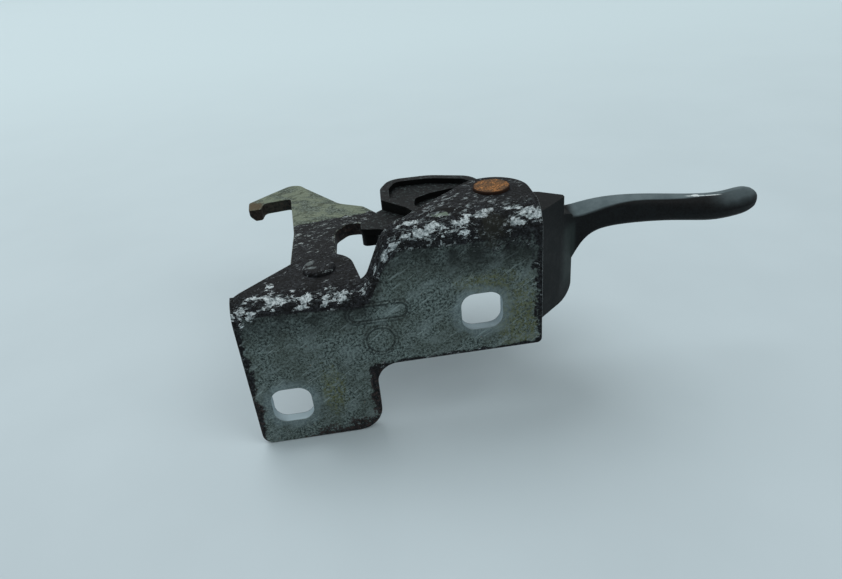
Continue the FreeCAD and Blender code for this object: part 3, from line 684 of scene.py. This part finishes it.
# %% Where the chips are
LOW_CHIPS = (
    (-29.2, -1.8, 2.4, 2.2), (-26.4, -2.0, 2.0, 0.8), (-20.6, 0.5, 3.3, 2.0), (-24.6, 2.2, 2.4, 0.7),
    (-16.4, -2.3, 2.0, 0.6), (-21.6, 3.2, 0.9, 1.2), (-14.5, 0.0, 1.4, 1.3), (-10.4, -0.3, 2.7, 1.7),
    (-6.3, 0.2, 3.1, 1.2), (-3.2, -0.1, 1.7, 1.0), (-22.6, 6.2, 0.8, 1.1), (-24.1, -1.4, 0.7, 0.7),
)
HIGH_CHIPS = (
    (0.3, -1.2, 0.5, 0.8), (2.7, -3.0, 1.0, 1.2), (4.9, -2.6, 1.7, 1.5), (7.3, -2.1, 2.2, 1.4),
    (10.5, -1.4, 2.6, 1.8), (14.2, -1.2, 3.4, 2.1), (18.4, -0.2, 3.2, 1.4), (22.2, 0.9, 2.6, 1.0),
    (25.2, 1.9, 1.5, 0.8), (19.9, -3.5, 1.7, 0.7), (30.6, 1.8, 2.6, 0.8), (33.8, 0.0, 1.9, 2.3),
    (31.3, -2.8, 2.2, 1.1), (8.5, 1.2, 2.2, 0.7),
)
SCRAPES = (
    (13.0, 1.0, 8.0, 4.0), (21.5, 2.4, 6.0, 3.0), (32.0, 0.6, 3.8, 4.6), (-8.0, 0.6, 6.0, 2.6),
    (-24.0, 1.0, 6.5, 3.2), (5.0, -1.6, 4.0, 3.0),
)


def fold_noise(g, fold, size_mm, stretch):
    """Noise drawn out along the sheet."""
    place = g.join(g.both(g.x, 1.0 / stretch), fold, g.both(g.x, 0.31))
    return g.noise(size_mm, 8.0, 0.74, 0.35, place)


def chip_masks(g, fold):
    """1 in the flakes down to metal, and 1 in the thin scrapes round them."""
    islands = g.fade(g.noise(2.6, 3.0, 0.5), 0.40, 0.60, -0.03, 0.11)
    torn = g.add(fold_noise(g, fold, 0.95, 1.7), islands)
    flakes = g.patches(g.x, fold, LOW_CHIPS + HIGH_CHIPS, torn, 3.2)
    field = g.patches(g.x, fold, SCRAPES, g.noise(3.0, 4.0, 0.6), 1.0, 0.5)
    scrapes = g.both(field, g.fade(fold_noise(g, fold, 0.8, 3.4), 0.56, 0.61))
    return flakes, scrapes


print("chips:", len(LOW_CHIPS), "low and", len(HIGH_CHIPS), "high; scraped fields:", len(SCRAPES))

# %% [markdown]
# ## The bracket's finish
# The coats come in the order in which they came on the real part: zinc, darker zinc below the fold, then
# paint with mud on the tab. The wear follows: scrapes, flakes, a brown stain, a little verdigris and one dark
# pit. Last, the bevelled edges are made pale: partly worn bare, partly a painted highlight.

# %% The coats on the bracket
FLANGE_SIDE = (0.7, 1.1)


def bracket_coats(g, fold):
    """Colour of the coats, and where the sheet is painted."""
    pins = g.fade_mm(g.x, -4.0, 8.0, 0.25, 0.85)
    paint = black_paint(g, g.both(pins, g.fade_mm(g.x, 27.0, 33.0, 1.0, 0.4)))
    amount = g.most(paint_amount(g, fold), g.both(g.fade_mm(g.y, *FLANGE_SIDE), 2.0))
    painted = g.spray(amount, g.noise(0.9, 6.0, 0.78))
    # Darker zinc below the fold, reaching further down towards the right.
    reach = g.add(fold, g.fade_mm(g.x, 0.0, 22.0, 0.0, 4.5 * MM))
    darkening_below_fold = g.fade(g.noise(4.0, 5.0, 0.7), 0.34, 0.60, 0.5, 1.0)
    darkening_below_fold = g.both(g.fade_mm(reach, -13.0, -3.5), darkening_below_fold)
    zinc = g.blend(g.both(darkening_below_fold, 0.88), stained_zinc(g), tone(18, 22, 22))
    mud = g.both(g.fade(g.noise(0.9, 6.0, 0.78), 0.48, 0.58), g.fade_mm(g.z, 0.0, -6.0))
    paint = g.blend(g.both(mud, 0.7), paint, tone(64, 54, 52))
    colour = g.blend(painted, zinc, paint)
    return g.blend(hole_walls(g), colour, tone(150, 168, 175)), painted


print("paint covers the sheet from y =", FLANGE_SIDE[1], "mm")

# %% The wear on the bracket
BROWN_STAIN = ((25.4, -3.0, 2.8, 4.0),)
VERDIGRIS = ((15.4, 3.0, 1.6, 0.7),)
PIT = ((17.1, 4.6, 1.7, 0.8),)


def bracket_wear(g, fold, colour):
    """The colour with its wear, and how deep the wear is sunk."""
    torn = g.noise(1.6, 6.0, 0.75)
    flakes, scrapes = chip_masks(g, fold)
    colour = g.blend(g.both(scrapes, 0.7), colour, tone(112, 124, 126))
    sheen = g.fade(g.noise(0.7, 6.0, 0.78), 0.38, 0.62)
    colour = g.blend(flakes, colour, g.blend(sheen, tone(96, 107, 110), tone(206, 217, 220)))
    brown = g.patches(g.x, fold, BROWN_STAIN, torn, 1.8, 0.4)
    colour = g.blend(g.both(brown, 0.75), colour, tone(34, 35, 30))
    verdigris = g.patches(g.x, fold, VERDIGRIS, torn, 2.6)
    colour = g.blend(g.both(verdigris, 0.6), colour, tone(126, 142, 128))
    pit = g.patches(g.x, fold, PIT, torn, 0.8)
    colour = g.blend(pit, colour, tone(6, 6, 6))
    return colour, g.both(g.most(flakes, g.both(pit, 2.5)), -1.0)


print("stains on the fold:", len(BROWN_STAIN) + len(VERDIGRIS) + len(PIT))


# %% The whole bracket
def bracket_finish():
    g = Surface("bracket_worn")
    fold = fold_coordinate(g)
    colour, painted = bracket_coats(g, fold)
    colour, sunk = bracket_wear(g, fold, colour)
    # Pale bevelled edges: partly paint worn off the flange's edges, partly a painted highlight, strongest
    # along the plate's right edge.
    edge = g.both(g.bevel_strip(), g.fade(g.noise(1.3, 6.0, 0.72), 0.36, 0.50))
    worn_and_lit_edge = g.most(g.fade_mm(fold, -6.0, 0.0, 0.32, 0.95), g.fade_mm(g.x, 35.2, 35.5, 0.0, 0.9))
    colour = g.blend(g.both(edge, worn_and_lit_edge), colour, tone(172, 184, 186))
    rough = g.blend(painted, (0.52, 0.52, 0.52, 1.0), (0.72, 0.72, 0.72, 1.0))
    bare = g.both(g.math("SUBTRACT", 1.0, painted), 0.2)
    relief = g.relief(sunk, 0.5, 0.06, g.relief(g.noise(0.45, 4.0, 0.7), 0.5, 0.06))
    return g.finish(colour, rough, bare, relief, 0.15)


dress(bracket_finish(), bracket, oval_mark, ring_mark)

# %% [markdown]
# ## The hook's finish
# The hooked end works inside the car's nose and was never painted, so it keeps a greenish zinc that goes
# brown at the barb, where it rubs. The stem stood in the paint's way: black, scraped pale by stones. The cut
# edges of the blank are dark brown, because shearing strips the zinc and leaves raw steel.

# %% Greenish zinc
BARB_STAIN = ((-33.4, 62.0, 4.0, 4.0),)


def hook_metal(g):
    grit = g.noise(0.6, 5.0, 0.78)
    zinc = g.blend(g.fade(grit, 0.42, 0.58), tone(54, 62, 54), tone(112, 124, 114))
    cloud = g.noise(3.2, 5.0, 0.65, 0.4, g.grain((2.2, 1, 1), (0, 0, -25)))
    zinc = g.blend(g.fade(cloud, 0.44, 0.56, 0.0, 0.6), zinc, tone(124, 134, 114))
    dark = g.noise(1.8, 6.0, 0.75, 0.6, g.grain((2.0, 1, 1), (0, 0, 35)))
    zinc = g.blend(g.fade(dark, 0.53, 0.61, 0.0, 0.65), zinc, tone(44, 48, 38))
    barb = g.patches(g.x, g.y, BARB_STAIN, g.noise(1.6, 7.0, 0.75), 1.0, 0.2)
    return g.blend(g.both(barb, 0.85), zinc, tone(76, 62, 42))


print("the barb is stained", 2 * BARB_STAIN[0][2], "mm across")

# %% The hook's finish
PAINT_ENDS = (48.6, 46.6)
SCUFFS_GROW = (20.0, 40.0)


def hook_finish():
    g = Surface("hook_half_painted")
    up = g.axes(g.facing)[2]
    border = g.add(g.sway(g.y, g.noise(2.2, 7.0, 0.72), 5.5), g.both(g.x, -0.14))
    painted = g.spray(g.fade_mm(border, *PAINT_ENDS), g.noise(0.9, 6.0, 0.78))
    scuffed = g.fade_mm(g.y, *SCUFFS_GROW, 0.2, 1.0)
    colour = g.blend(painted, hook_metal(g), black_paint(g, g.both(scuffed, 0.2)))
    scuffs = g.noise(1.1, 7.0, 0.78, 0.5, g.grain((1.9, 1, 1), (0, 0, 20)))
    scuffs = g.both(g.fade(g.add(scuffs, g.both(scuffed, 0.045)), 0.61, 0.64), painted)
    colour = g.blend(g.both(scuffs, 0.85), colour, tone(146, 156, 156))
    sheared = g.both(g.fade(up, 0.7, 0.3), g.math("SUBTRACT", 1.0, g.bevel_strip()))
    raw = g.blend(g.fade(g.noise(0.8, 5.0, 0.7), 0.42, 0.6), tone(16, 15, 17), tone(46, 37, 34))
    colour = g.blend(g.both(sheared, 0.9), colour, raw)
    edge = g.both(g.bevel_strip(), g.fade(g.noise(1.4, 6.0, 0.72), 0.44, 0.56))
    colour = g.blend(g.both(edge, 0.45), colour, tone(140, 148, 136))
    bare = g.both(g.math("SUBTRACT", 1.0, painted), 0.2)
    return g.finish(colour, 0.68, bare, g.relief(g.noise(0.5, 4.0, 0.7), 0.5, 0.07), 0.15)


dress(hook_finish(), hook)

# %% [markdown]
# ## The moulded handle's finish
# Glass-filled black plastic has a fine spark-eroded grain. The top of the grip and its round tip are painted
# lighter grey, a painted sheen where they face up to the sky. Dust lies on the arm's floor, and a white
# scratch with a nick runs near the tip.

# %% The scratch near the tip
SCRATCH_START = (74.0, 13.2)
SCRATCH_SLOPE = 0.19
NICK = ((75.8, 13.0, 0.9, 0.6),)


def grip_scratch(g):
    """Pale line along the tip of the grip, with a nick at its start."""
    torn = g.noise(0.8, 6.0, 0.75)
    slanted = g.both(g.add(g.x, -SCRATCH_START[0] * MM), SCRATCH_SLOPE)
    line = g.sway(g.add(g.add(g.y, -SCRATCH_START[1] * MM), slanted), torn, 0.5)
    thin = g.fade_mm(g.math("ABSOLUTE", line), 0.30, 0.14)
    span = g.both(g.fade_mm(g.x, 73.0, 74.4), g.fade_mm(g.x, 81.8, 80.0))
    nick = g.patches(g.x, g.y, NICK, torn, 1.2)
    return g.most(g.both(g.both(thin, span), g.fade(torn, 0.36, 0.5)), nick)


print("the scratch starts at", SCRATCH_START, "mm")

# %% Where the grip is painted with sheen
GRIP_ROOT = (46.0, 48.5)
TIP = (77.0, 85.0)

# The crease between the grip's top and its front moves forward from the root to the tip
CREASE_ALONG = (60.0, 78.0)
CREASE_ACROSS = (13.8, 12.1)


def painted_sheen_on_grip(g, up):
    """Painted sheen: 1 on the grip's top, behind its crease, and less on the round tip."""
    crease = g.fade_mm(g.x, *CREASE_ALONG, CREASE_ACROSS[0] * MM, CREASE_ACROSS[1] * MM)
    behind_crease = g.fade_mm(g.math("SUBTRACT", g.y, crease), -0.3, 0.3)
    top = g.both(g.both(g.fade(up, 0.05, 0.4), behind_crease), g.fade_mm(g.x, *GRIP_ROOT))
    return g.most(top, g.both(g.fade(up, 0.15, 0.85), g.fade_mm(g.x, *TIP, 0.0, 0.7)))


print("the grip is dull from x =", GRIP_ROOT[0], "mm to its tip")


# %% The moulded handle's finish
def plastic_finish():
    g = Surface("charcoal_plastic")
    up = g.axes(g.facing)[2]
    grit = g.noise(0.5, 4.0, 0.75)
    colour = g.blend(g.fade(grit, 0.36, 0.64), tone(5, 6, 7), tone(17, 20, 22))
    dust = g.noise(3.6, 6.0, 0.7)
    colour = g.blend(g.fade(dust, 0.46, 0.62, 0.0, 0.4), colour, tone(24, 29, 31))
    sheen_tone = g.blend(g.fade(dust, 0.35, 0.65), tone(80, 94, 98), tone(96, 110, 114))
    # Painted sheen: the grip's top and tip are lightened where they face up.
    colour = g.blend(g.both(painted_sheen_on_grip(g, up), 0.95), colour, sheen_tone)
    # Painted highlight: a lighter upright band on the block's corner beside the grip's root, where it turns
    # towards the light.
    lit_corner_band = g.both(g.fade_mm(g.x, 43.0, 45.2), g.fade_mm(g.x, 48.2, 47.2))
    lit_corner_band = g.both(lit_corner_band, g.both(g.fade_mm(g.z, 22.5, 19.0), g.fade_mm(g.z, 3.0, 9.0)))
    colour = g.blend(g.both(lit_corner_band, 0.55), colour, tone(50, 60, 59))
    inside = g.both(g.fade(up, 0.6, 0.95), g.fade_mm(g.x, 40.0, 34.0))
    specks = g.fade(g.noise(1.0, 6.0, 0.78), 0.53, 0.62)
    colour = g.blend(g.both(g.both(inside, specks), 0.5), colour, tone(84, 98, 98))
    colour = g.blend(g.both(grip_scratch(g), g.fade(up, 0.2, 0.5)), colour, tone(204, 214, 216))
    # Bevelled edges lighter grey: partly scuffed, partly a painted highlight along them.
    edge = g.both(g.bevel_strip(), g.fade(g.noise(1.8, 5.0, 0.7), 0.42, 0.60))
    colour = g.blend(g.both(edge, 0.22), colour, tone(96, 108, 108))
    # Painted shade: the arm's upright walls, which stand in shade, are darkened nearly to black.
    painted_shade_arm_wall = g.both(g.fade(up, 0.6, 0.2), g.fade_mm(g.x, 30.0, 24.0))
    colour = g.blend(g.both(painted_shade_arm_wall, 0.85), colour, tone(2, 3, 3))
    rough = g.fade(dust, 0.3, 0.7, 0.52, 0.66)
    return g.finish(colour, rough, 0.0, g.relief(grit, 0.4, 0.05), 0.14)


dress(plastic_finish(), handle)

# %% [markdown]
# ## The rivets' finishes
# The handle's rivet is bare steel that rusted to a warm orange, darker round its rim. The hook's rivet was
# painted with the flange; a pale painted highlight lies on the left of its dome.

# %% Rust and black paint
DARK_RIM = (3.5, 4.0)
RIVET_HIGHLIGHT = ((-14.3, 12.5, 1.3, 0.9), (-13.6, 10.2, 0.9, 0.4))


def rust_finish():
    g = Surface("rusty_rivet")
    grit = g.noise(0.5, 5.0, 0.8)
    cloud = g.noise(1.9, 5.0, 0.7)
    colour = g.blend(g.fade(grit, 0.42, 0.58), tone(60, 42, 28), tone(170, 120, 74))
    colour = g.blend(g.fade(cloud, 0.44, 0.54, 0.0, 0.75), colour, tone(78, 64, 50))
    # Darker round the head's rim.
    edge = g.sway(g.away(g.x, g.y, *HANDLE_PIVOT), cloud, 0.8)
    colour = g.blend(g.fade_mm(edge, *DARK_RIM), colour, tone(40, 26, 18))
    return g.finish(colour, 0.85, 0.0, g.relief(grit, 0.8, 0.10), 0.15)


def rivet_paint_finish():
    g = Surface("black_paint")
    torn = g.noise(1.2, 7.0, 0.75, 0.5)
    # Painted highlight: pale patches on the left of the dome, where it faces the light.
    worn = g.patches(g.x, g.y, RIVET_HIGHLIGHT, torn, 2.4)
    colour = g.blend(g.both(worn, 0.5), black_paint(g, 0.6), tone(112, 122, 122))
    return g.finish(colour, 0.70, 0.0, g.relief(torn, 0.5, 0.08), 0.15)


dress(rust_finish(), handle_rivet)
dress(rivet_paint_finish(), hook_rivet)

# %% [markdown]
# ## The small hardware
# The sleeves and washers sit under the flange, away from the weather, so they keep plain zinc that is only a
# little stained. The spring is drawn wire, dark and oiled, with brown patches where the oil has dried.

# %% Zinc and spring steel
HARDWARE = ("handle_bush", "handle_washer", "hook_bush", "hook_spacer", "hook_washer")


def zinc_finish():
    g = Surface("plain_zinc")
    grit = g.noise(0.7, 5.0, 0.65)
    colour = g.blend(g.fade(grit, 0.3, 0.7), tone(112, 118, 118), tone(160, 166, 164))
    colour = g.blend(g.fade(g.noise(3.0), 0.5, 0.7, 0.0, 0.5), colour, tone(92, 94, 86))
    return g.finish(colour, g.fade(grit, 0.3, 0.7, 0.35, 0.5), 0.8, g.relief(grit, 0.25, 0.04))


def spring_finish():
    g = Surface("oiled_spring_steel")
    grit = g.noise(0.5, 4.0, 0.6)
    colour = g.blend(g.fade(grit, 0.3, 0.7), tone(64, 66, 68), tone(104, 104, 106))
    colour = g.blend(g.fade(g.noise(2.2), 0.52, 0.68, 0.0, 0.6), colour, tone(80, 62, 48))
    return g.finish(colour, g.fade(grit, 0.3, 0.7, 0.30, 0.46), 0.85, g.relief(grit, 0.2, 0.03))


dress(zinc_finish(), *[nodes[name] for name in HARDWARE])
dress(spring_finish(), spring)

# %% [markdown]
# ## The table
# The photograph was taken on a pale, plain table that fills the whole view. A broad plane stands for it, just
# under the part. Its colour is painted lighter with distance, a painted pool of light from the window.

# %% The table
TABLE_SIZE = 12.0
TABLE_GAP = 0.2


def table_finish():
    g = Surface("pale_table")
    # Painted light: the table is lighter further back, towards the window.
    far = g.fade(g.y, -0.15, 0.6)
    near_tone = g.blend(g.fade(g.noise(60.0, 3.0), 0.3, 0.7), tone(184, 198, 204), tone(189, 203, 209))
    colour = g.blend(far, near_tone, tone(204, 222, 227))
    return g.finish(colour, 0.6, 0.0, g.relief(g.noise(2.0), 0.04, 0.05), 0.3)


low_corner, high_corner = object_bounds()
bpy.ops.mesh.primitive_plane_add(size=TABLE_SIZE, location=(0, 0, low_corner.z - TABLE_GAP * MM))
table = bpy.context.object
table.name = "table"
table.data.materials.append(table_finish())
print("table lies at z =", round(table.location.z / MM, 2), "mm")

# %% [markdown]
# ## The light
# The light is daylight: a large window behind on the left, a faint lamp on the right and an even sky.
# Together they light a level surface so that a colour renders about as it is written. The sky that the
# camera sees has its own colour, so the background can be pale without more light on the part.


# %% The lamps
def soft_lamp(name, place, size, watts, colour, target=(0, 0.02, 0.01)):
    """Round lamp that points at a target."""
    lamp_data = bpy.data.lights.new(name, "AREA")
    lamp_data.shape = "DISK"
    lamp_data.size = size
    lamp_data.energy = watts
    lamp_data.color = colour
    lamp = bpy.data.objects.new(name, lamp_data)
    bpy.context.scene.collection.objects.link(lamp)
    lamp.location = place
    lamp.rotation_euler = (Vector(target) - Vector(place)).to_track_quat("-Z", "Y").to_euler()
    print(name, "gives", watts, "W")


soft_lamp("window", (-1.1, 1.4, 2.8), 3.0, 54.0, (0.98, 0.99, 1.0))
soft_lamp("room", (1.3, -0.9, 1.6), 1.4, 10.0, (1.0, 1.0, 0.99))

# %% The sky
SKY_LIGHT = (0.470, 0.494, 0.500, 1)
SKY_SEEN = tone(196, 214, 220)

world = bpy.data.worlds.new("daylight")
bpy.context.scene.world = world
world.use_nodes = True
sky = world.node_tree.nodes["Background"]
seen = world.node_tree.nodes.new("ShaderNodeLightPath").outputs["Is Camera Ray"]
sky_tone = world.node_tree.nodes.new("ShaderNodeMix")
sky_tone.data_type = "RGBA"
sky_tone.inputs["A"].default_value = SKY_LIGHT
sky_tone.inputs["B"].default_value = SKY_SEEN
world.node_tree.links.new(seen, sky_tone.inputs["Factor"])
world.node_tree.links.new(sky_tone.outputs["Result"], sky.inputs["Color"])
sky.inputs["Strength"].default_value = 1.0
print("the sky lights with", SKY_LIGHT[:3])

# %% [markdown]
# ## The camera
# The place, the direction and the lens were fitted to the photograph: the plate's corners are right angles
# and its holes are square, and that fixes where the photographer stood. The camera's three axes are made
# square to each other here, because the fitted values are rounded.

# %% The camera
CAMERA_PLACE = Vector((0.79, -118.22, 85.69)) * MM
CAMERA_AHEAD = Vector((0.0635, 0.8619, -0.5031)).normalized()
CAMERA_RIGHT = Vector((0.9887, -0.1228, -0.0857))
SENSOR_WIDTH = 36.0
LENS = 27.58

camera_data = bpy.data.cameras.new("camera")
camera_data.sensor_width = SENSOR_WIDTH
camera_data.lens = LENS
camera_data.clip_start = 0.01
camera = bpy.data.objects.new("camera", camera_data)
bpy.context.scene.collection.objects.link(camera)
right = (CAMERA_RIGHT - CAMERA_AHEAD * CAMERA_RIGHT.dot(CAMERA_AHEAD)).normalized()
above = right.cross(CAMERA_AHEAD)
turn = Matrix((right, above, -CAMERA_AHEAD)).transposed()
camera.matrix_world = Matrix.Translation(CAMERA_PLACE) @ turn.to_4x4()
bpy.context.scene.camera = camera
bpy.context.scene.view_settings.view_transform = "Standard"
print("camera stands at", [round(value, 3) for value in camera.location])

# %% [markdown]
